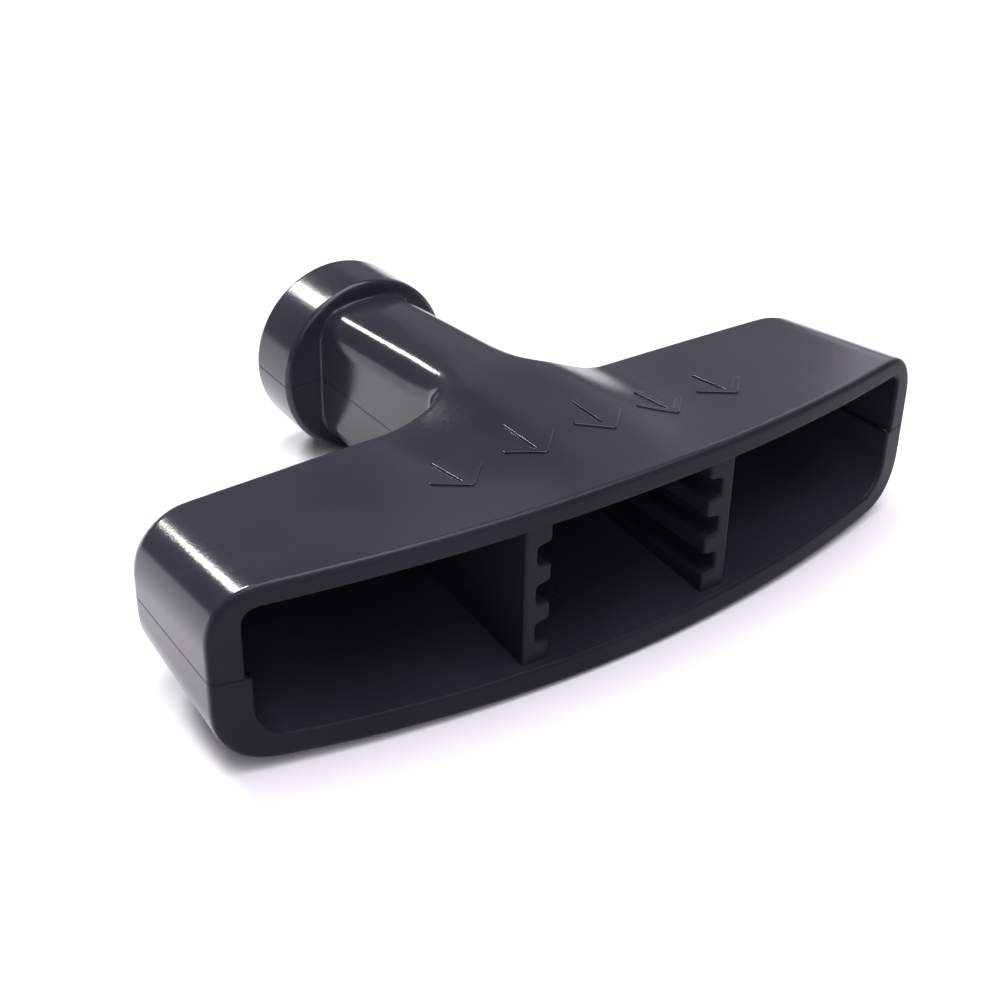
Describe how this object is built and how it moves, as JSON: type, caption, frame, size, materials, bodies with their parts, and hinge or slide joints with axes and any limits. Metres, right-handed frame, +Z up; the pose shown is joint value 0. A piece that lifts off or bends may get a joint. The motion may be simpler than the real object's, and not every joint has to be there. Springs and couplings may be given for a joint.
{
  "type": "recoil starter pull handle",
  "caption": "T-shaped pull grip for a small engine's starter rope: bowed hollow crossbar open at the front, square stem, round end collar and a cross pin.",
  "frame": {"origin": "centre of the bounding box at its lowest level, under the stem", "axes": "+X along the crossbar, +Y along the stem from the hand towards the engine, +Z up through the crossbar's thickness"},
  "size_m": [0.11, 0.0744, 0.0275],
  "materials": {
    "shell": "satin black moulded plastic",
    "rib": "satin black moulded plastic",
    "pin": "drawn steel wire"
  },
  "bodies": {
    "grip": {"upper_shell": "shell", "lower_shell": "shell", "right_toothed_rib": "rib", "left_toothed_rib": "rib"},
    "rope_pin": {"rope_pin": "pin"}
  },
  "joints": [
    {"name": "rope_pin_slide", "type": "slide", "parent": "grip", "child": "rope_pin", "axis": [0, -1, 0], "range_m": [0, 0.033]}
  ]
}
